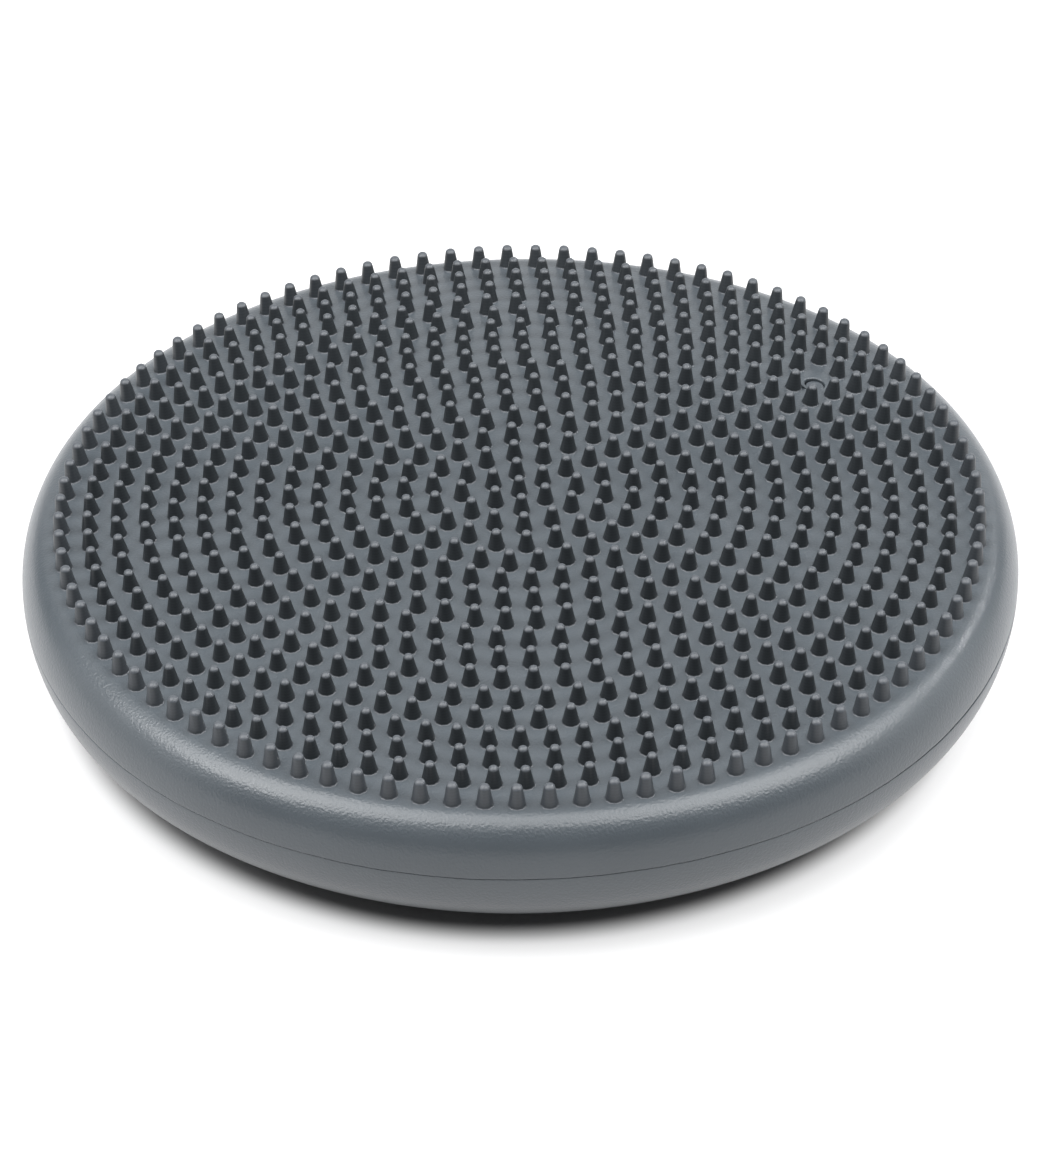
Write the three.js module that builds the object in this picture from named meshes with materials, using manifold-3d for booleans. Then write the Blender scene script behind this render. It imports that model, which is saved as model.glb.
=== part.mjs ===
// Air-filled balance disc: two moulded half skins that meet at a line round the side, rings of
// cone studs on the top face, and an air valve set into the deck in place of one stud.
// Millimetres, +Z up, with the flat contact patch of the underside on Z = 0.

import * as THREE from "three";
import { mergeVertices } from "three/addons/utils/BufferGeometryUtils.js";
import Module from "manifold-3d";

const wasm = await Module();
wasm.setup();

// The whole cushion.
const OUTER_RADIUS = 165;
const SEAM_HEIGHT = 34.5;
const SEAM_GAP = 0.3;
const SKIN = 3;
const SIDE_SEGMENTS = 64;
const INSIDE_SEGMENTS = 48;

// The studded deck: studs per ring, from the ring next to the centre stud outwards.
const STUDS_IN_RING = [6, 12, 18, 25, 30, 36, 42, 47, 53, 59, 66, 71, 78, 84, 90, 95];
const LAST_RING_RADIUS = 150.5;
const RING_PITCH = LAST_RING_RADIUS / STUDS_IN_RING.length;
const LAST_RING_HEIGHT = 50.25;
const CROWN = 8.75;
const CROWN_FLATTENING = 0.14;
const STUD_HEIGHT = 7.2;
const STUD_HALF_WIDTH = 2.5;
const SHOULDER_RADIUS = LAST_RING_RADIUS + STUD_HALF_WIDTH;
const SHOULDER_STEPS = 8;

// The underside: a flat patch, a shallow rise and a round edge up to the seam.
const PATCH_RADIUS = 60;
const EDGE_ROUND = 29.5;
const EDGE_START = THREE.MathUtils.degToRad(7.5);
const EDGE_STEPS = 7;
const UNDERSIDE_STEPS = 3;

// The air valve takes the place of the first stud of its ring. Its own heights are counted
// from the deck's surface, along the deck's normal.
const VALVE_RING = 13;
const VALVE_ANGLE = THREE.MathUtils.degToRad(34.3);
const VALVE_RADIUS = VALVE_RING * RING_PITCH;
const VALVE_SEGMENTS = 24;
const HOLE_RADIUS = 3.5;
const CLEARANCE = 0.3;
const PLUG_RECESS = 0.5;
const PLUG_HEAD_DEPTH = 2.2;
const PLUG_STEM_RADIUS = 1.6;
const PLUG_STEM_DEPTH = 12;
const PLUG_TIP_RADIUS = 1;
const PLUG_TIP_DEPTH = 14;
const SEAT_FLANGE_RADIUS = 9;
const SEAT_FLANGE_TOP = SKIN + 0.6;
const SEAT_FLANGE_BOTTOM = SEAT_FLANGE_TOP + 2;
const SEAT_BARREL_RADIUS = 5;
const SEAT_DEPTH = 16;

const materials = {
  skin: { color: 0x6c737a, roughness: 0.45, metalness: 0 },
  seat: { color: 0x4c5156, roughness: 0.6, metalness: 0 },
  plug: { color: 0x7b8288, roughness: 0.5, metalness: 0 },
};

function piece(name, geometry, look) {
  const mesh = new THREE.Mesh(geometry, new THREE.MeshStandardMaterial(materials[look]));
  mesh.name = name;
  return mesh;
}

function lathe(profile, segments) {
  const points = profile.map(([radius, height]) => new THREE.Vector2(radius, height));
  return new THREE.LatheGeometry(points, segments).rotateX(Math.PI / 2);
}

function solidOf(geometry) {
  const bare = geometry.clone();
  bare.deleteAttribute("normal");
  bare.deleteAttribute("uv");
  const merged = mergeVertices(bare);
  return new wasm.Manifold(
    new wasm.Mesh({
      numProp: 3,
      vertProperties: new Float32Array(merged.attributes.position.array),
      triVerts: new Uint32Array(merged.index.array),
    }),
  );
}

function geometryOf(points, faces) {
  const geometry = new THREE.BufferGeometry();
  geometry.setAttribute("position", new THREE.Float32BufferAttribute(points, 3));
  geometry.setIndex(Array.from(faces));
  geometry.computeVertexNormals();
  return geometry;
}

// The deck is a shallow crown that levels out towards its rim.
function deckHeight(radius) {
  const u = radius / LAST_RING_RADIUS;
  return LAST_RING_HEIGHT + CROWN * (1 - u * u) * (1 - CROWN_FLATTENING * u * u);
}

function deckTilt(radius) {
  const step = 0.5;
  return Math.atan((deckHeight(radius - step) - deckHeight(radius + step)) / (2 * step));
}

// An open sheet under construction: points are added round the axis, and rows of them joined.
class Sheet {
  points = [];
  faces = [];

  point(radius, angle, height) {
    this.points.push(radius * Math.cos(angle), radius * Math.sin(angle), height);
    return { index: this.points.length / 3 - 1, angle };
  }

  row(radius, height, segments) {
    const turn = (2 * Math.PI) / segments;
    return Array.from({ length: segments }, (_, i) => this.point(radius, VALVE_ANGLE + i * turn, height));
  }

  face(...corners) {
    this.faces.push(...corners.map((corner) => corner.index));
  }

  quad(a, b, c, d) {
    this.face(a, b, c);
    this.face(a, c, d);
  }

  cone(corners, apex) {
    corners.forEach((corner, i) => this.face(corner, corners[(i + 1) % corners.length], apex));
  }

  // Joins two closed rows, each in order of angle, by always moving on along the row whose
  // next point comes first.
  stitch(from, to) {
    const at = (row, i) => row[i % row.length];
    const angleAt = (row, i) => at(row, i).angle + 2 * Math.PI * Math.floor(i / row.length);
    let i = 0;
    let j = 0;
    while (i < from.length || j < to.length) {
      const alongFrom = j >= to.length || (i < from.length && angleAt(from, i + 1) < angleAt(to, j + 1));
      if (alongFrom) {
        this.face(at(from, i), at(to, j), at(from, i + 1));
        i += 1;
      } else {
        this.face(at(from, i), at(to, j), at(to, j + 1));
        j += 1;
      }
    }
  }
}

// One stud's four base corners, counted round its edge: near, far, far, near.
function studBase(sheet, radius, angle) {
  const corner = (r, side) =>
    sheet.point(r, angle + (side * STUD_HALF_WIDTH) / r, deckHeight(r));
  const near = radius - STUD_HALF_WIDTH;
  const far = radius + STUD_HALF_WIDTH;
  return [corner(near, -1), corner(far, -1), corner(far, 1), corner(near, 1)];
}

function studTip(sheet, radius, angle) {
  const tilt = deckTilt(radius);
  const tipRadius = radius + STUD_HEIGHT * Math.sin(tilt);
  return sheet.point(tipRadius, angle, deckHeight(radius) + STUD_HEIGHT * Math.cos(tilt));
}

// Lays one ring of studs and the strips of deck between them. Returns its two edge rows.
function studRing(sheet, ring, count) {
  const radius = ring * RING_PITCH;
  const bases = [];
  for (let i = 0; i < count; i += 1) {
    const angle = VALVE_ANGLE + (2 * Math.PI * i) / count;
    const base = studBase(sheet, radius, angle);
    const isValve = ring === VALVE_RING && i === 0;
    if (isValve) {
      sheet.quad(...base);
    } else {
      sheet.cone(base, studTip(sheet, radius, angle));
    }
    bases.push(base);
  }
  bases.forEach((base, i) => {
    const next = bases[(i + 1) % count];
    sheet.quad(base[3], base[2], next[1], next[0]);
  });
  return {
    inner: bases.flatMap((base) => [base[0], base[3]]),
    outer: bases.flatMap((base) => [base[1], base[2]]),
  };
}

function studdedDeck(sheet) {
  const corner = (i) => {
    const radius = STUD_HALF_WIDTH * Math.SQRT2;
    return sheet.point(radius, VALVE_ANGLE + (i * Math.PI) / 2, deckHeight(radius));
  };
  let edge = [0, 1, 2, 3].map(corner);
  sheet.cone(edge, studTip(sheet, 0, VALVE_ANGLE));
  STUDS_IN_RING.forEach((count, i) => {
    const ring = studRing(sheet, i + 1, count);
    sheet.stitch(edge, ring.inner);
    edge = ring.outer;
  });
  return edge;
}

// The shoulder is a quarter ellipse from the deck's edge down to the seam.
function shoulderProfile(thickness) {
  const top = deckHeight(SHOULDER_RADIUS) - thickness;
  const bottom = SEAM_HEIGHT + SEAM_GAP / 2;
  const width = OUTER_RADIUS - thickness - SHOULDER_RADIUS;
  const profile = [];
  for (let i = 1; i <= SHOULDER_STEPS; i += 1) {
    const t = (i / SHOULDER_STEPS) * (Math.PI / 2);
    profile.push([SHOULDER_RADIUS + width * Math.sin(t), bottom + (top - bottom) * Math.cos(t)]);
  }
  return profile;
}

function upperShellGeometry() {
  const sheet = new Sheet();
  let edge = studdedDeck(sheet);
  const carryOn = ([radius, height], segments) => {
    const row = sheet.row(radius, height, segments);
    sheet.stitch(edge, row);
    edge = row;
  };
  shoulderProfile(0).forEach((point) => carryOn(point, SIDE_SEGMENTS));
  shoulderProfile(SKIN).reverse().forEach((point) => carryOn(point, INSIDE_SEGMENTS));
  for (const share of [0.98, 0.8, 0.55, 0.3]) {
    const radius = share * SHOULDER_RADIUS;
    carryOn([radius, deckHeight(radius) - SKIN], INSIDE_SEGMENTS);
  }
  sheet.cone([...edge].reverse(), sheet.point(0, 0, deckHeight(0) - SKIN));
  return geometryOf(sheet.points, sheet.faces);
}

function valvePlacement() {
  const place = new THREE.Group();
  const x = VALVE_RADIUS * Math.cos(VALVE_ANGLE);
  const y = VALVE_RADIUS * Math.sin(VALVE_ANGLE);
  place.position.set(x, y, deckHeight(VALVE_RADIUS));
  place.rotation.set(0, deckTilt(VALVE_RADIUS), VALVE_ANGLE, "ZYX");
  place.updateMatrix();
  return place;
}

function upperShell() {
  const drill = new THREE.CylinderGeometry(HOLE_RADIUS, HOLE_RADIUS, 6 * SKIN, VALVE_SEGMENTS);
  drill.rotateX(Math.PI / 2).applyMatrix4(valvePlacement().matrix);
  const cut = solidOf(upperShellGeometry()).subtract(solidOf(drill)).getMesh();
  return geometryOf(cut.vertProperties, cut.triVerts);
}

// The flat patch, the shallow rise round it and a round edge whose arc is centred at seam height.
function lowerShell() {
  const arcCentre = OUTER_RADIUS - EDGE_ROUND;
  const arcPoint = (angle, round) => [
    arcCentre + round * Math.sin(angle),
    SEAM_HEIGHT - round * Math.cos(angle),
  ];
  const [riseEnd, riseTop] = arcPoint(EDGE_START, EDGE_ROUND);
  const side = (thickness) => {
    const profile = [[PATCH_RADIUS, thickness]];
    for (let i = 1; i < UNDERSIDE_STEPS; i += 1) {
      const u = i / UNDERSIDE_STEPS;
      profile.push([PATCH_RADIUS + u * (riseEnd - PATCH_RADIUS), riseTop * u * u + thickness]);
    }
    for (let i = 0; i <= EDGE_STEPS; i += 1) {
      const angle = EDGE_START + (i / EDGE_STEPS) * (Math.PI / 2 - EDGE_START);
      const [radius, height] = arcPoint(angle, EDGE_ROUND - thickness);
      profile.push([radius, Math.min(height, SEAM_HEIGHT - SEAM_GAP / 2)]);
    }
    return profile;
  };
  return lathe([[0, 0], ...side(0), ...side(SKIN).reverse(), [0, SKIN]], SIDE_SEGMENTS);
}

function valveSeat() {
  const bore = PLUG_STEM_RADIUS + CLEARANCE;
  const spigot = HOLE_RADIUS - CLEARANCE;
  const top = -PLUG_HEAD_DEPTH - CLEARANCE;
  const profile = [
    [bore, -SEAT_DEPTH],
    [SEAT_BARREL_RADIUS, -SEAT_DEPTH],
    [SEAT_BARREL_RADIUS, -SEAT_FLANGE_BOTTOM],
    [SEAT_FLANGE_RADIUS, -SEAT_FLANGE_BOTTOM],
    [SEAT_FLANGE_RADIUS, -SEAT_FLANGE_TOP],
    [spigot, -SEAT_FLANGE_TOP],
    [spigot, top],
    [bore, top],
    [bore, -SEAT_DEPTH],
  ];
  return lathe(profile, VALVE_SEGMENTS);
}

function valvePlug() {
  const head = HOLE_RADIUS - CLEARANCE;
  const profile = [
    [0, -PLUG_TIP_DEPTH],
    [PLUG_TIP_RADIUS, -PLUG_TIP_DEPTH],
    [PLUG_STEM_RADIUS, -PLUG_STEM_DEPTH],
    [PLUG_STEM_RADIUS, -PLUG_HEAD_DEPTH],
    [head, -PLUG_HEAD_DEPTH],
    [head, -PLUG_RECESS],
    [0, -PLUG_RECESS],
  ];
  return lathe(profile, VALVE_SEGMENTS);
}

const disc = new THREE.Group();
disc.add(piece("upper_shell", upperShell(), "skin"));
disc.add(piece("lower_shell", lowerShell(), "skin"));

const valve = valvePlacement();
valve.add(piece("valve_seat", valveSeat(), "seat"));
valve.add(piece("valve_plug", valvePlug(), "plug"));
disc.add(valve);

export default disc;
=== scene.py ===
import math

import bpy
import numpy as np
from mathutils import Matrix, Vector


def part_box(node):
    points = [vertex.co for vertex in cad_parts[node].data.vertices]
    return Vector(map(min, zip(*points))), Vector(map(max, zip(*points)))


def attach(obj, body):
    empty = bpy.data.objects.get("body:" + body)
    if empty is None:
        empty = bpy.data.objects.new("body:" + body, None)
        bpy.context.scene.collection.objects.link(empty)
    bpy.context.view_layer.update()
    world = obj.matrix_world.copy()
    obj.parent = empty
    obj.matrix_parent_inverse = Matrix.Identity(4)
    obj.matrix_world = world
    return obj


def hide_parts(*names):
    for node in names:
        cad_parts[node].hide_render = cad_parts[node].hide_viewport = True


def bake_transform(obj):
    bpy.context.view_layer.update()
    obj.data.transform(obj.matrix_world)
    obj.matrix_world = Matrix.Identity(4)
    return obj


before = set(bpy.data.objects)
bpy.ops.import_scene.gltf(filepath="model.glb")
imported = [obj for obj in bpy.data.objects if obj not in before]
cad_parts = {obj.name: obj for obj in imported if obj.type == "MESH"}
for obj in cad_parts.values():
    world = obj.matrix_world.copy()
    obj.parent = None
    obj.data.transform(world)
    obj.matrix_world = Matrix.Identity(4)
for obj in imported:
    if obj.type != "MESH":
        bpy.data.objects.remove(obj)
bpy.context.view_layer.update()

# Shapes are worked out in millimetres and turned to metres as they go into a mesh.
MM = 0.001

# The frame's own sizes.
UPPER_LOW = np.array(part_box("upper_shell")[0]) / MM
LOWER_HIGH = np.array(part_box("lower_shell")[1]) / MM
OUTER_RADIUS = float(LOWER_HIGH[0])
SEAM_HEIGHT = float(UPPER_LOW[2] + LOWER_HIGH[2]) / 2
SKIN = 3.0

# The deck: rings of studs on a shallow crown.
STUDS_IN_RING = np.array([6, 12, 18, 25, 30, 36, 42, 47, 53, 59, 66, 71, 78, 84, 90, 95])
LAST_RING_RADIUS = 150.5
RING_PITCH = LAST_RING_RADIUS / len(STUDS_IN_RING)
LAST_RING_HEIGHT = 50.25
CROWN = 8.75
CROWN_FLATTENING = 0.14
SHOULDER_RADIUS = 153.0

# The cushion is soft and sits a little uneven: the deck swells towards +Y, its rim is lower there, and
# there are two low swells of their own, each (height, x, y, spread).
SWELL_BACK = 5.9
RIM_DROP_BACK = 2.04
SWELLS = [(1.9, 66.0, 76.0, 35.0), (1.4, 3.5, 45.0, 27.0)]

# The underside: a flat patch, a shallow rise and a round edge up to the seam.
PATCH_RADIUS = 60.0
EDGE_ROUND = 29.5
EDGE_START = math.radians(7.5)

# The seam line round the side: its lip, how far it stands open, the stretch where it gapes and its
# wander. The rim is out of round by a steady push and by waves of two and four to the turn.
SEAM_LIP = 0.2
SEAM_OPEN = 0.05
SEAM_GAPE = 0.35
SEAM_GAPE_ANGLE = math.radians(-22.0)
SEAM_GAPE_WIDTH = math.radians(22.0)
SEAM_WANDER = 0.07
RIM_PUSH = (0.475, -0.35, -0.725)

# The air valve, in place of the first stud of its ring and a little in front of it.
VALVE_RING = 13
RING_START = math.radians(34.32)
VALVE_RADIUS = 121.3
VALVE_ANGLE = math.radians(33.8)
VALVE_AXIS = np.array([0.0742, 0.0506, 0.996])
HOLE_RADIUS = 3.5
CLEARANCE = 0.3


# The surface: bumps of the skin's grain, its clouds, the turned marks on the studs, and the painted shade
# that darkens the skin towards the foot.
GRAIN_SIZE = 0.9 * MM
CLOUD_SIZE = 35.0 * MM
TURNED_MARK_PITCH = 1.05
# Heights between which the painted shade at the foot fades in.
FOOT_SHADE_LOW, FOOT_SHADE_HIGH = 11.0 * MM, 30.0 * MM

# The floor's painted contact shadow round the foot, the inner and outer radius of its fade, and how far its
# centre lies towards -X.
PAINTED_SHADOW_INNER, PAINTED_SHADOW_OUTER = 145.5 * MM, 157.0 * MM
PAINTED_SHADOW_OFFSET = 2.5 * MM


# ---------------------------------------------------------------- surfaces

def build_mesh(name, points, face_blocks, material, normals=None):
    """One smooth mesh object from an (n, 3) array of points in millimetres and blocks of faces, where
    each block is an integer array with one face to a row. Normals may be given for each point."""
    corners = np.concatenate([block.ravel() for block in face_blocks]).astype(np.int32)
    sizes = np.concatenate([np.full(len(block), block.shape[1]) for block in face_blocks])
    starts = np.concatenate([[0], np.cumsum(sizes)[:-1]]).astype(np.int32)
    mesh = bpy.data.meshes.new(name)
    mesh.vertices.add(len(points))
    mesh.vertices.foreach_set("co", (np.asarray(points, float) * MM).ravel())
    mesh.loops.add(len(corners))
    mesh.loops.foreach_set("vertex_index", corners)
    mesh.polygons.add(len(sizes))
    mesh.polygons.foreach_set("loop_start", starts)
    mesh.polygons.foreach_set("use_smooth", np.ones(len(sizes), bool))
    mesh.update(calc_edges=True)
    mesh.validate()
    if normals is not None:
        mesh.normals_split_custom_set_from_vertices(np.asarray(normals, float).tolist())
    mesh.materials.append(material)
    piece = bpy.data.objects.new(name, mesh)
    bpy.context.scene.collection.objects.link(piece)
    return piece


def band(first, second):
    """Quads between two closed rows of point numbers with the same count."""
    return np.stack([first, second, np.roll(second, -1), np.roll(first, -1)], axis=1)


def turned(profile, segments):
    """Points of a profile of (radius, height) rows carried round the Z axis, as (rows, segments, 3)."""
    angle = RING_START + (np.arange(segments) + 0.5) * 2 * np.pi / segments
    radius = profile[:, 0, None]
    height = np.broadcast_to(profile[:, 1, None], (len(profile), segments))
    return np.stack([radius * np.cos(angle), radius * np.sin(angle), height], axis=2)


def turned_solid(profile, segments, place=None):
    """A closed body of revolution from a profile that starts and ends on the axis. The first and last
    rows are single points, joined to their neighbours by fans."""
    rings = turned(profile[1:-1], segments)
    count = len(rings)
    points = np.concatenate([rings.reshape(-1, 3), [[0, 0, profile[0, 1]], [0, 0, profile[-1, 1]]]])
    index = np.arange(count * segments).reshape(count, segments)
    quads = np.concatenate([band(index[i + 1], index[i]) for i in range(count - 1)])
    first = np.full(segments, count * segments)
    last = first + 1
    fans = np.concatenate([
        np.stack([first, np.roll(index[0], -1), index[0]], axis=1),
        np.stack([last, index[-1], np.roll(index[-1], -1)], axis=1),
    ])
    if place is not None:
        points = points @ place[:3, :3].T + place[:3, 3]
    return points, [quads, fans]


# ---------------------------------------------------------------- the deck's form

def crown_height(radius):
    """The even crown: a parabola times a second one, so that it levels out towards the rim."""
    x = (radius / LAST_RING_RADIUS) ** 2
    return LAST_RING_HEIGHT + CROWN * (1 - x) * (1 - CROWN_FLATTENING * x)


def unevenness(x, y):
    """What is added to the crown's height: a swell and a drop that both grow with Y, the swell ending
    at the rim, and the low bell-shaped swells."""
    square = (x * x + y * y) / LAST_RING_RADIUS ** 2
    lean = y / LAST_RING_RADIUS * (SWELL_BACK * (1 - square) - RIM_DROP_BACK)
    bells = sum(h * np.exp(-((x - u) ** 2 + (y - v) ** 2) / (2 * w * w)) for h, u, v, w in SWELLS)
    return lean + bells


def deck_height(x, y):
    return crown_height(np.hypot(x, y)) + unevenness(x, y)


def deck_frames(radius, angle):
    """Base point, outward tangent, sideways tangent and normal of the deck, each as (n, 3). The normal
    comes from the slopes along X and Y, taken over 1 mm."""
    radius, angle = np.broadcast_arrays(np.asarray(radius, float), np.asarray(angle, float))
    x, y = radius * np.cos(angle), radius * np.sin(angle)
    slope_x = deck_height(x + 0.5, y) - deck_height(x - 0.5, y)
    slope_y = deck_height(x, y + 0.5) - deck_height(x, y - 0.5)
    normal = np.stack([-slope_x, -slope_y, np.ones_like(x)], axis=-1)
    normal /= np.linalg.norm(normal, axis=-1, keepdims=True)
    outward = np.stack([np.cos(angle), np.sin(angle), np.zeros_like(x)], axis=-1)
    side = np.cross(normal, outward)
    side /= np.linalg.norm(side, axis=-1, keepdims=True)
    return np.stack([x, y, deck_height(x, y)], axis=-1), np.cross(side, normal), side, normal


# ---------------------------------------------------------------- skins

SKIN_SEGMENTS = 300
ROWS_PER_RING = 4
BLOCK = 5
HOLE_LOOPS = [(5.2, 0.0), (4.3, 0.0), (3.95, -0.01), (3.72, -0.07), (3.56, -0.2), (HOLE_RADIUS, -0.4)]


def seam_rows(side):
    """The rounded lip of a skin at the seam: a quarter circle into the line, above it for side 1 and
    below it for side -1, from the wall inwards."""
    turn = np.linspace(0, np.pi / 2, 5)
    radius = OUTER_RADIUS - SEAM_LIP * (1 - np.cos(turn))
    height = SEAM_HEIGHT + side * (SEAM_OPEN + SEAM_LIP * (1 - np.sin(turn)))
    return np.stack([radius, height], axis=1)


def upper_profile(depth):
    """Deck, shoulder and lip of the upper skin, moved inwards by depth: (radius, height) rows from
    near the axis outwards and down. The shoulder is a quarter ellipse."""
    step = RING_PITCH / ROWS_PER_RING
    deck_radius = np.arange(step / 2, SHOULDER_RADIUS, step)
    deck = np.stack([deck_radius, crown_height(deck_radius) - depth], axis=1)
    turn = np.linspace(0, np.pi / 2, 30)[1:-1]
    top = crown_height(SHOULDER_RADIUS) - depth
    foot = SEAM_HEIGHT + SEAM_OPEN + SEAM_LIP
    width = OUTER_RADIUS - depth - SHOULDER_RADIUS
    shoulder = np.stack([
        SHOULDER_RADIUS + width * np.sin(turn),
        foot + (top - foot) * np.cos(turn),
    ], axis=1)
    lip = seam_rows(1)
    if depth:
        lip[:, 0] = OUTER_RADIUS - depth
    return np.concatenate([deck, shoulder, lip])


def seam_marks(grid, side):
    """Points within a few millimetres of the seam, moved up or down: the line wanders a little, as the
    sum of three waves round the rim, and gapes on one stretch. Side 1 is above the line. From the last
    ring of studs outwards the rim is also pushed out between the axes and drawn in across X."""
    angle = np.arctan2(grid[..., 1], grid[..., 0])
    wander = np.sin(9 * angle + 1.1) + 0.7 * np.sin(31 * angle) + 0.5 * np.sin(74 * angle + 2.3)
    gape = SEAM_GAPE * np.exp(-((angle - SEAM_GAPE_ANGLE) / SEAM_GAPE_WIDTH) ** 2)
    near = np.exp(-((grid[..., 2] - SEAM_HEIGHT) / 2.5) ** 2)
    moved = grid.copy()
    moved[..., 2] += near * (SEAM_WANDER * wander + side * gape)
    radius = np.hypot(grid[..., 0], grid[..., 1])
    push = RIM_PUSH[0] + RIM_PUSH[1] * np.cos(2 * angle) + RIM_PUSH[2] * np.cos(4 * angle)
    share = np.clip((radius - LAST_RING_RADIUS) / (OUTER_RADIUS - LAST_RING_RADIUS), 0, 1)
    widened = 1 + push * share * share * (3 - 2 * share) / np.maximum(radius, 1)
    moved[..., :2] *= widened[..., None]
    return moved


def settled(grid):
    """Adds the deck's unevenness to points of the upper skin, less and less down to the seam."""
    share = (grid[..., 2] - SEAM_HEIGHT) / (crown_height(SHOULDER_RADIUS) - SEAM_HEIGHT)
    moved = grid.copy()
    moved[..., 2] += np.clip(share, 0, 1) * unevenness(grid[..., 0], grid[..., 1])
    return seam_marks(moved, 1)


def upper_skin():
    """Outer and inner surface on one grid, each with the hole's loops in place of a block of the grid,
    joined along the hole's wall and along the lip at the seam."""
    segments = SKIN_SEGMENTS
    row_of_valve = VALVE_RING * ROWS_PER_RING
    rows = np.arange(row_of_valve - (BLOCK + 1) // 2, row_of_valve + (BLOCK + 1) // 2)
    columns = np.arange(-(BLOCK + 1) // 2, (BLOCK + 1) // 2) % segments
    points, quads, triangles = [], [], []
    ends = []
    for depth in (0.0, SKIN):
        start = sum(len(block) for block in points)
        profile = upper_profile(depth)
        grid = settled(turned(profile, segments))
        count = len(grid)
        index = start + np.arange(count * segments).reshape(count, segments)
        outward = depth == 0.0
        block = np.zeros((count - 1, segments), bool)
        block[np.ix_(rows[:-1], columns[:-1])] = True
        cells = np.stack([
            index[:-1], index[1:], np.roll(index[1:], -1, axis=1), np.roll(index[:-1], -1, axis=1),
        ], axis=2)[~block]
        pole = start + count * segments
        fan = np.stack([np.full(segments, pole), index[0], np.roll(index[0], -1)], axis=1)
        outline = np.concatenate([
            index[rows[:-1], columns[0]],
            index[rows[-1], columns[:-1]],
            index[rows[:0:-1], columns[-1]],
            index[rows[0], columns[:0:-1]],
        ])
        flat = grid.reshape(-1, 3)
        base, along, side, normal = (part[0] for part in deck_frames([VALVE_RADIUS], [VALVE_ANGLE]))
        offsets = flat[outline - start] - base
        bearing = np.unwrap(np.arctan2(offsets @ side, offsets @ along))
        closed = np.append(bearing, bearing[0] + 2 * np.pi * np.sign(bearing[1] - bearing[0]))
        fine = np.interp(np.arange(0, len(bearing), 0.5), np.arange(len(closed)), closed)
        spokes = np.cos(fine)[:, None] * along + np.sin(fine)[:, None] * side
        loops = HOLE_LOOPS if outward else [(5.2, 0.0), (HOLE_RADIUS, 0.0)]
        loop_points = [base + r * spokes + (h - depth) * normal for r, h in loops]
        first = pole + 1
        loop_index = first + np.arange(len(loops) * len(fine)).reshape(len(loops), len(fine))
        even, odd = loop_index[0][0::2], loop_index[0][1::2]
        following = np.roll(outline, -1)
        tri = np.concatenate([
            np.stack([outline, even, odd], axis=1)[:, ::-1],
            np.stack([outline, odd, following], axis=1)[:, ::-1],
            np.stack([following, odd, np.roll(even, -1)], axis=1)[:, ::-1],
        ])
        inner_quads = np.concatenate([band(a, b)[:, ::-1] for a, b in zip(loop_index[:-1], loop_index[1:])])
        if not outward:
            cells, fan, tri, inner_quads = (block[:, ::-1] for block in (cells, fan, tri, inner_quads))
        points += [flat, [[0, 0, deck_height(0.0, 0.0) - depth]], *loop_points]
        quads += [cells, inner_quads]
        triangles += [fan, tri]
        ends.append((index[-1], loop_index[-1]))
    (outer_lip, outer_hole), (inner_lip, inner_hole) = ends
    quads += [band(outer_lip, inner_lip), band(outer_hole, inner_hole)[:, ::-1]]
    return np.concatenate(points), [np.concatenate(quads), np.concatenate(triangles)]


def lower_skin():
    """A closed body of revolution: flat patch, parabolic rise and round edge up to the lip at the seam,
    then the same again 3 mm further in."""
    centre = OUTER_RADIUS - EDGE_ROUND
    rise_end = centre + EDGE_ROUND * math.sin(EDGE_START)
    rise = SEAM_HEIGHT - EDGE_ROUND * math.cos(EDGE_START)
    flat = np.stack([np.linspace(0, PATCH_RADIUS, 13), np.zeros(13)], axis=1)
    u = np.linspace(0, 1, 18)[1:-1]
    shallow = np.stack([PATCH_RADIUS + u * (rise_end - PATCH_RADIUS), rise * u * u], axis=1)
    turn = np.linspace(EDGE_START, np.pi / 2, 34)[:-1]

    def edge(round_radius):
        return np.stack([
            centre + round_radius * np.sin(turn),
            SEAM_HEIGHT - SEAM_OPEN - SEAM_LIP - round_radius * np.cos(turn),
        ], axis=1)

    outside = np.concatenate([flat, shallow, edge(EDGE_ROUND), seam_rows(-1)])
    inside = np.concatenate([flat + [0, SKIN], shallow + [0, SKIN], edge(EDGE_ROUND - SKIN)])
    last = seam_rows(-1)[-1:]
    last[:, 0] = OUTER_RADIUS - SKIN
    points, blocks = turned_solid(np.concatenate([outside, last, inside[::-1]]), SKIN_SEGMENTS)
    return seam_marks(points, -1), blocks


# ---------------------------------------------------------------- studs

STUD_SIDES = 10
STUD_PROFILE = np.array([
    # radius, height, normal outwards, normal upwards, painted lightness (0 painted shade, 1 unshaded)
    [3.20, -0.12, 0.20, 0.98, 1.0],
    [3.00, 0.10, 0.50, 0.87, 1.0],
    [2.76, 0.50, 0.98, 0.20, 0.0],
    [1.64, 5.92, 0.98, 0.21, 0.0],
    [1.38, 6.76, 0.72, 0.69, 1.0],
    [0.78, 7.25, 0.40, 0.92, 1.0],
])
STUD_HEIGHT = 7.4
LAST_RING_STRETCH = 1.06


def stud_places():
    """Radius and angle of every stud: each ring's studs are evenly spaced from one common bearing, and
    the valve takes the first place of its ring. The centre stud comes first."""
    ring = np.repeat(np.arange(1, len(STUDS_IN_RING) + 1), STUDS_IN_RING)
    place = np.concatenate([np.arange(count) for count in STUDS_IN_RING])
    angle = RING_START + 2 * np.pi * place / np.repeat(STUDS_IN_RING, STUDS_IN_RING)
    kept = (ring != VALVE_RING) | (place != 0)
    return np.append(0, ring[kept] * RING_PITCH), np.append(RING_START, angle[kept])


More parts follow.
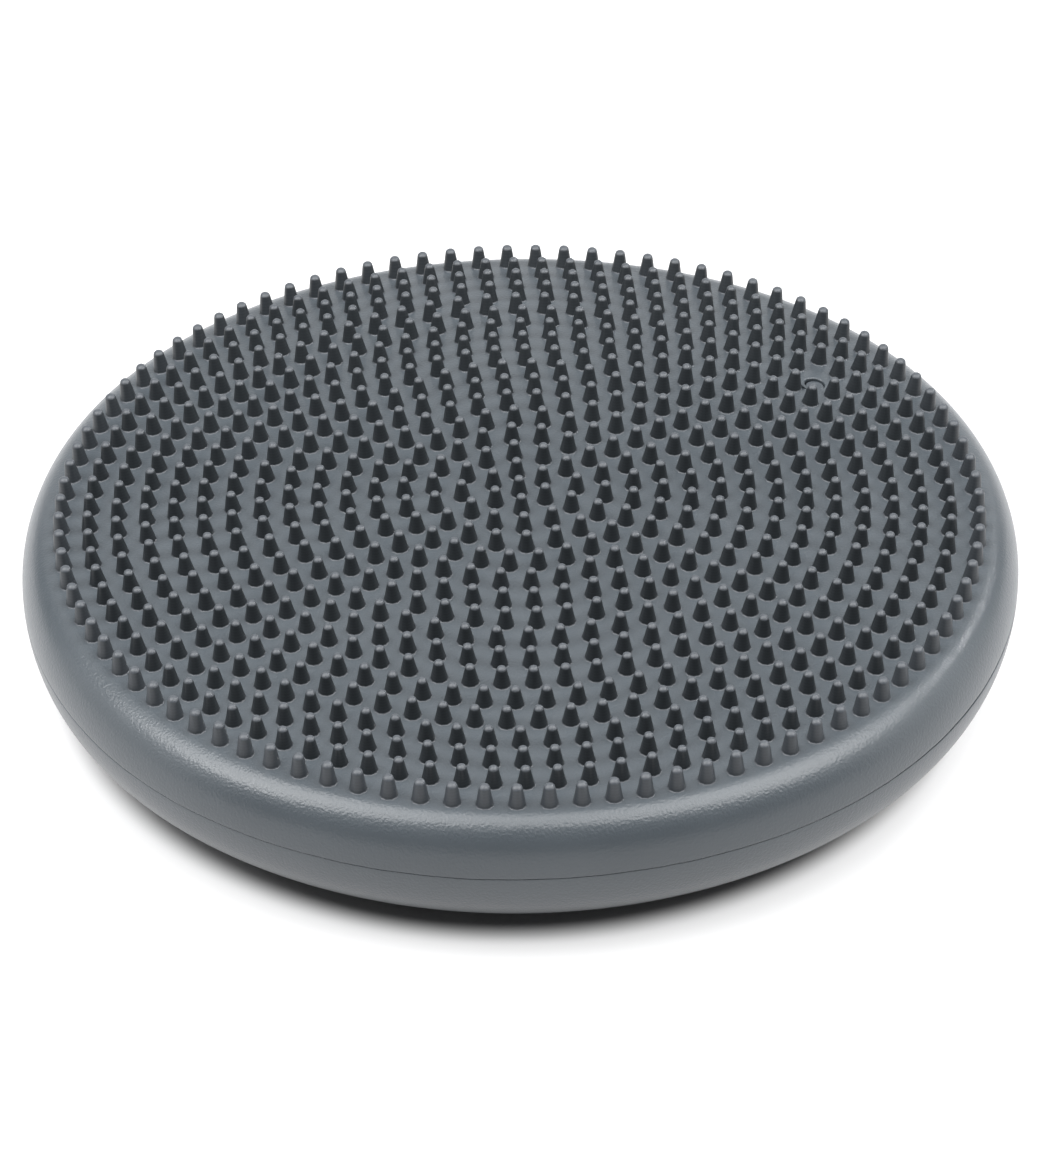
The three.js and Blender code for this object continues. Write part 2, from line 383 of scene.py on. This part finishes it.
def deck_studs():
    """Every stud is the same turned profile, set on the deck's own normal: rows of points round it,
    a point at the tip and a flat face below the deck. The last ring's are a little taller and blunter.
    Also gives each point's normal, painted lightness and rise above the deck in millimetres. The painted
    lightness is painted shade on the cones for the shade between the studs, none on the caps and feet,
    and on the last ring painted light, paler towards -Y, for the floor's light on them."""
    radius, angle = stud_places()
    base, along, side, normal = (part[:, None, None, :] for part in deck_frames(radius, angle))
    turn = np.arange(STUD_SIDES) * 2 * np.pi / STUD_SIDES
    cos, sin = np.cos(turn)[None, None, :, None], np.sin(turn)[None, None, :, None]
    spoke = cos * along + sin * side
    last_ring = radius > LAST_RING_RADIUS - 1
    stretch = np.where(last_ring, LAST_RING_STRETCH, 1.0)[:, None, None, None]
    wide, high, out, up = (STUD_PROFILE[:, i][None, :, None, None] for i in range(4))
    blunt = wide + np.where(last_ring, 0.2, 0.0)[:, None, None, None] * (high > 5)
    rows = base + blunt * spoke + stretch * high * normal
    row_normals = out * spoke + up * normal
    count, levels = len(radius), len(STUD_PROFILE)
    tips = (base + stretch * STUD_HEIGHT * normal).reshape(count, 1, 3)
    points = np.concatenate([rows.reshape(count, -1, 3), tips], axis=1)
    normals = np.concatenate([row_normals.reshape(count, -1, 3), normal.reshape(count, 1, 3)], axis=1)
    per_stud = levels * STUD_SIDES + 1
    # Painted light and shade: cones 0 (painted shade between the studs), caps and feet 1; the last ring is
    # painted paler towards -Y, a painted light from the floor.
    painted_lightness = np.append(np.repeat(STUD_PROFILE[:, 4], STUD_SIDES), 1.0)
    painted_lightness = np.maximum(painted_lightness[None, :], np.where(last_ring, 0.3 - 0.2 * np.sin(angle), 0.0)[:, None])
    rise = np.tile(np.append(np.repeat(STUD_PROFILE[:, 1], STUD_SIDES), STUD_HEIGHT), count)
    ring = np.arange(levels * STUD_SIDES).reshape(levels, STUD_SIDES)
    quads = np.concatenate([band(ring[i + 1], ring[i]) for i in range(levels - 1)])
    fan = np.stack([ring[-1], np.roll(ring[-1], -1), np.full(STUD_SIDES, per_stud - 1)], axis=1)
    cap = ring[0][::-1][None, :]
    starts = (np.arange(count) * per_stud)[:, None, None]
    blocks = [(starts + block[None]).reshape(-1, block.shape[1]) for block in (quads, fan, cap)]
    return points.reshape(-1, 3), blocks, normals.reshape(-1, 3), painted_lightness.ravel(), rise


# ---------------------------------------------------------------- the valve

def valve_place():
    """4 by 4 matrix whose origin is on the deck at the valve and whose Z is the stopper's own axis."""
    base = deck_frames([VALVE_RADIUS], [VALVE_ANGLE])[0][0]
    up = VALVE_AXIS / np.linalg.norm(VALVE_AXIS)
    side = np.cross(up, [1.0, 0.0, 0.0])
    side /= np.linalg.norm(side)
    place = np.eye(4)
    place[:3, :3] = np.stack([np.cross(side, up), side, up], axis=1)
    place[:3, 3] = base
    return place


def valve_stopper():
    """Turned plug: a thin stem, and a head with a rounded edge and a shallow dimple."""
    head = HOLE_RADIUS - CLEARANCE
    profile = np.array([
        [0, -14.0], [0.8, -13.9], [1.0, -13.6], [1.6, -12.0], [1.6, -2.4], [1.7, -2.25], [head - 0.2, -2.2],
        [head, -2.0], [head, -1.25], [head - 0.06, -1.07], [head - 0.22, -0.93], [head - 0.5, -0.85],
        [1.9, -0.85], [1.6, -0.9], [1.3, -1.07], [0.7, -1.15], [0, -1.15],
    ])
    return turned_solid(profile, 48, valve_place())


def valve_bush():
    """Flanged bush under the deck: a closed ring profile carried round the valve's axis."""
    bore, spigot, barrel, flange = 1.9, 3.2, 5.0, 9.0
    profile = np.array([
        [bore, -16.0], [barrel - 0.4, -16.0], [barrel, -15.6], [barrel, -6.0], [barrel + 0.4, -5.6],
        [flange - 0.3, -5.6], [flange, -5.3], [flange, -3.9], [flange - 0.3, -3.6], [spigot, -3.6],
        [spigot, -2.6], [spigot - 0.1, -2.5], [bore + 0.2, -2.5], [bore, -2.7],
    ])
    segments = 48
    rings = turned(profile, segments)
    index = np.arange(len(rings) * segments).reshape(len(rings), segments)
    quads = np.concatenate([band(np.roll(index, -1, axis=0)[i], index[i]) for i in range(len(rings))])
    place = valve_place()
    return rings.reshape(-1, 3) @ place[:3, :3].T + place[:3, 3], [quads]


# ---------------------------------------------------------------- finishes

def linear(hex_colour):
    """sRGB hex string to linear RGBA."""
    parts = [int(hex_colour[i:i + 2], 16) / 255 for i in (1, 3, 5)]
    return [*(c / 12.92 if c <= 0.04045 else ((c + 0.055) / 1.055) ** 2.4 for c in parts), 1.0]


def add(tree, kind, sockets=None, **settings):
    """Adds a node with its settings. A socket's value is a number, a colour or another socket."""
    node = tree.nodes.new(kind)
    for key, value in settings.items():
        setattr(node, key, value)
    for key, value in (sockets or {}).items():
        if isinstance(value, bpy.types.NodeSocket):
            tree.links.new(value, node.inputs[key])
        else:
            node.inputs[key].default_value = value
    return node


def moulded_vinyl(name, colour, shade, roughness, grain_depth, coat=0.0, unshaded_colour=None):
    """Soft PVC from a satin mould: an even grey with a faint cloudiness, a broad sheen, a thin glossy
    coat that gives the bright lines, and the fine orange peel that the mould leaves. It darkens towards
    the foot: painted shade where the skin turns under towards the shaded floor. Given a second, lighter
    colour, the mesh's own painted-lightness attribute blends the base colour towards it, and so do faint
    turned marks up each stud, from its rise attribute; on the studs the darker base colour is painted shade."""
    material = bpy.data.materials.new(name)
    material.use_nodes = True
    tree = material.node_tree
    tree.nodes.clear()
    place = add(tree, "ShaderNodeTexCoord").outputs["Object"]
    clouds = add(tree, "ShaderNodeTexNoise", {"Vector": place, "Scale": 1 / CLOUD_SIZE, "Detail": 3.0})
    ramp = add(tree, "ShaderNodeValToRGB", {"Fac": clouds.outputs["Fac"]})
    ramp.color_ramp.elements[0].position = 0.3
    ramp.color_ramp.elements[0].color = linear(shade)
    ramp.color_ramp.elements[1].position = 0.7
    ramp.color_ramp.elements[1].color = linear(colour)
    # Painted shade: the colour darkens by height towards the foot, where the skin turns under towards the
    # shaded floor.
    depth = add(tree, "ShaderNodeSeparateXYZ", {"Vector": place}).outputs["Z"]
    foot_shade = add(tree, "ShaderNodeMapRange", {
        "Value": depth, "From Min": FOOT_SHADE_LOW, "From Max": FOOT_SHADE_HIGH, "To Min": 0.6, "To Max": 0.0,
    })
    tint = add(tree, "ShaderNodeMix", {
        "Factor": foot_shade.outputs["Result"], 6: ramp.outputs["Color"], 7: linear("#1c2024"),
    }, data_type="RGBA").outputs[2]
    # Blends the base colour, painted shade on the studs, towards the lighter unshaded colour by the mesh's
    # painted lightness and the turned marks.
    if unshaded_colour:
        painted_lightness = add(tree, "ShaderNodeAttribute", attribute_name="painted_lightness")
        rise = add(tree, "ShaderNodeAttribute", attribute_name="rise")
        phase = add(tree, "ShaderNodeMath", {
            0: rise.outputs["Fac"], 1: 2 * math.pi / TURNED_MARK_PITCH,
        }, operation="MULTIPLY")
        wave = add(tree, "ShaderNodeMath", {0: phase.outputs["Value"]}, operation="SINE")
        turned_marks = add(tree, "ShaderNodeMapRange", {
            "Value": wave.outputs["Value"], "From Min": -1.0, "From Max": 1.0, "To Min": 0.0, "To Max": 0.14,
        })
        lift = add(tree, "ShaderNodeMath", {
            0: painted_lightness.outputs["Fac"], 1: turned_marks.outputs["Result"],
        }, operation="ADD", use_clamp=True)
        tint = add(tree, "ShaderNodeMix", {
            "Factor": lift.outputs["Value"], 6: tint, 7: linear(unshaded_colour),
        }, data_type="RGBA").outputs[2]
    grain = add(tree, "ShaderNodeTexNoise", {"Vector": place, "Scale": 1 / GRAIN_SIZE, "Detail": 2.0})
    gloss = add(tree, "ShaderNodeMapRange", {
        "Value": clouds.outputs["Fac"], "To Min": roughness - 0.04, "To Max": roughness + 0.04,
    })
    bump = add(tree, "ShaderNodeBump", {
        "Strength": 1.0, "Distance": grain_depth * MM, "Height": grain.outputs["Fac"],
    })
    shader = add(tree, "ShaderNodeBsdfPrincipled", {
        "Base Color": tint, "Roughness": gloss.outputs["Result"],
        "Normal": bump.outputs["Normal"], "IOR": 1.47, "Coat Weight": coat, "Coat Roughness": 0.09,
        "Coat Normal": bump.outputs["Normal"],
    })
    add(tree, "ShaderNodeOutputMaterial", {"Surface": shader.outputs["BSDF"]})
    return material


SKIN_VINYL = moulded_vinyl("moulded soft PVC, satin", "#43494e", "#3f454a", 0.40, 0.16, 0.28)
# The studs' dark base colour is painted shade for the shade between them; the lighter colour is the skin's
# own, given to the caps and feet and, as painted light, to the last ring towards -Y.
STUD_VINYL = moulded_vinyl("moulded soft PVC, studs", "#262a2d", "#23272a", 0.42, 0.010, unshaded_colour="#44484d")
STOPPER_VINYL = moulded_vinyl("moulded soft PVC, stopper", "#44494e", "#40454a", 0.36, 0.010)
BUSH_VINYL = moulded_vinyl("moulded soft PVC, bush", "#303336", "#2c2f32", 0.55, 0.010)


# ---------------------------------------------------------------- the object

points, faces = upper_skin()
upper = build_mesh("upper_skin", points, faces, SKIN_VINYL)
points, faces = lower_skin()
lower = build_mesh("lower_skin", points, faces, SKIN_VINYL)
for skin, node in ((upper, "upper_shell"), (lower, "lower_shell")):
    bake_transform(skin)
    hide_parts(node)

points, faces, normals, painted_lightness, rise = deck_studs()
studs = build_mesh("deck_studs", points, faces, STUD_VINYL, normals)
# The studs' attributes: painted lightness (painted light and shade) and rise.
for name, values in (("painted_lightness", painted_lightness), ("rise", rise)):
    studs.data.attributes.new(name, "FLOAT", "POINT").data.foreach_set("value", values)
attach(studs, "top")

points, faces = valve_bush()
bush = build_mesh("valve_bush", points, faces, BUSH_VINYL)
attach(bush, "top")
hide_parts("valve_seat")

points, faces = valve_stopper()
stopper = build_mesh("valve_stopper", points, faces, STOPPER_VINYL)
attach(stopper, "stopper")
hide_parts("valve_plug")


# ---------------------------------------------------------------- stage

def studio_floor():
    """White floor sheet with painted light: it glows by its own emission, as if lit from below. The glow
    stops
    at a circle under the object's edge, so the sheet itself is dark round the foot, whatever the lamps do:
    a painted contact shadow."""
    material = bpy.data.materials.new("white glowing floor with painted contact shadow")
    material.use_nodes = True
    tree = material.node_tree
    tree.nodes.clear()
    place = add(tree, "ShaderNodeTexCoord").outputs["Object"]
    # Painted contact shadow: the floor's emission fades to nothing inside a circle round the foot.
    flat = add(tree, "ShaderNodeVectorMath", {
        0: place, 1: (1.0, 1.0, 0.0), 2: (PAINTED_SHADOW_OFFSET, 0.0, 0.0),
    }, operation="MULTIPLY_ADD")
    radius = add(tree, "ShaderNodeVectorMath", {0: flat.outputs["Vector"]}, operation="LENGTH")
    glow = add(tree, "ShaderNodeMapRange", {
        "Value": radius.outputs["Value"], "From Min": PAINTED_SHADOW_INNER, "From Max": PAINTED_SHADOW_OUTER, "To Max": 0.6,
    }, interpolation_type="SMOOTHSTEP")
    shader = add(tree, "ShaderNodeBsdfPrincipled", {
        "Base Color": linear("#a9a9aa"), "Roughness": 0.9, "Specular IOR Level": 0.1,
        "Emission Color": linear("#ffffff"), "Emission Strength": glow.outputs["Result"],
    })
    add(tree, "ShaderNodeOutputMaterial", {"Surface": shader.outputs["BSDF"]})
    half = 4.0
    mesh = bpy.data.meshes.new("studio_floor")
    corners = [(-half, -half, 0), (half, -half, 0), (half, half, 0), (-half, half, 0)]
    mesh.from_pydata(corners, [], [(0, 1, 2, 3)])
    mesh.materials.append(material)
    floor = bpy.data.objects.new("studio_floor", mesh)
    bpy.context.scene.collection.objects.link(floor)


def softbox(name, position, aim, size, power):
    light = bpy.data.lights.new(name, "AREA")
    light.shape = "RECTANGLE"
    light.size, light.size_y = size
    light.energy = power
    lamp = bpy.data.objects.new(name, light)
    lamp.location = position
    lamp.rotation_euler = (Vector(aim) - Vector(position)).to_track_quat("-Z", "Y").to_euler()
    bpy.context.scene.collection.objects.link(lamp)


CAMERA_TARGET_HEIGHT = 57.7 * MM
CAMERA_DISTANCE = 1.6684
CAMERA_ELEVATION = math.radians(36.46)
CAMERA_DROP = math.radians(1.0208)
CAMERA_SIDE = math.radians(-0.021)
CAMERA_ROLL = math.radians(-0.778)
CAMERA_LENS = 155.5


def studio_camera():
    data = bpy.data.cameras.new("camera")
    data.lens = CAMERA_LENS
    data.sensor_width = 36.0
    camera = bpy.data.objects.new("camera", data)
    back = CAMERA_DISTANCE * math.cos(CAMERA_ELEVATION)
    rise = CAMERA_DISTANCE * math.sin(CAMERA_ELEVATION)
    turn = (
        Matrix.Rotation(CAMERA_SIDE, 4, "Z")
        @ Matrix.Rotation(math.pi / 2 - CAMERA_ELEVATION - CAMERA_DROP, 4, "X")
        @ Matrix.Rotation(CAMERA_ROLL, 4, "Z")
    )
    camera.matrix_world = Matrix.Translation((0, -back, CAMERA_TARGET_HEIGHT + rise)) @ turn
    bpy.context.scene.collection.objects.link(camera)
    bpy.context.scene.camera = camera


studio_floor()
softbox("left_overhead_softbox", (-1.0, -0.1, 1.6), (-1.0, -0.1, 0), (1.5, 1.6), 50)
softbox("right_overhead_softbox", (1.0, -0.1, 1.6), (1.0, -0.1, 0), (1.5, 1.6), 46)
softbox("middle_overhead_softbox", (0.0, -0.1, 1.6), (0, -0.1, 0), (0.5, 1.6), 8)
softbox("backdrop_glow", (0.0, 2.5, 0.7), (0, 0, 0.05), (3.6, 1.3), 12)
softbox("upper_back_glow", (0.0, 1.9, 1.7), (0, 0, 0.05), (3.0, 1.3), 6)
softbox("left_glow", (-2.3, 0.1, 0.7), (0, 0, 0.05), (2.2, 1.3), 9)
softbox("right_glow", (2.3, 0.3, 0.7), (0, 0, 0.05), (2.2, 1.3), 12)
softbox("left_softbox", (-1.3, -0.15, 1.3), (0, 0, 0.05), (0.6, 0.6), 5)
softbox("right_softbox", (1.3, -0.15, 1.3), (0, 0, 0.05), (0.6, 0.6), 2.5)
softbox("back_right_lamp", (1.37, 1.21, 1.35), (0.15, -0.05, 0.05), (0.12, 0.12), 7)
studio_camera()

world = bpy.data.worlds.new("studio")
world.use_nodes = True
world.node_tree.nodes["Background"].inputs["Color"].default_value = (1, 1, 1, 1)
world.node_tree.nodes["Background"].inputs["Strength"].default_value = 0.06
bpy.context.scene.world = world
bpy.context.scene.view_settings.view_transform = "Standard"
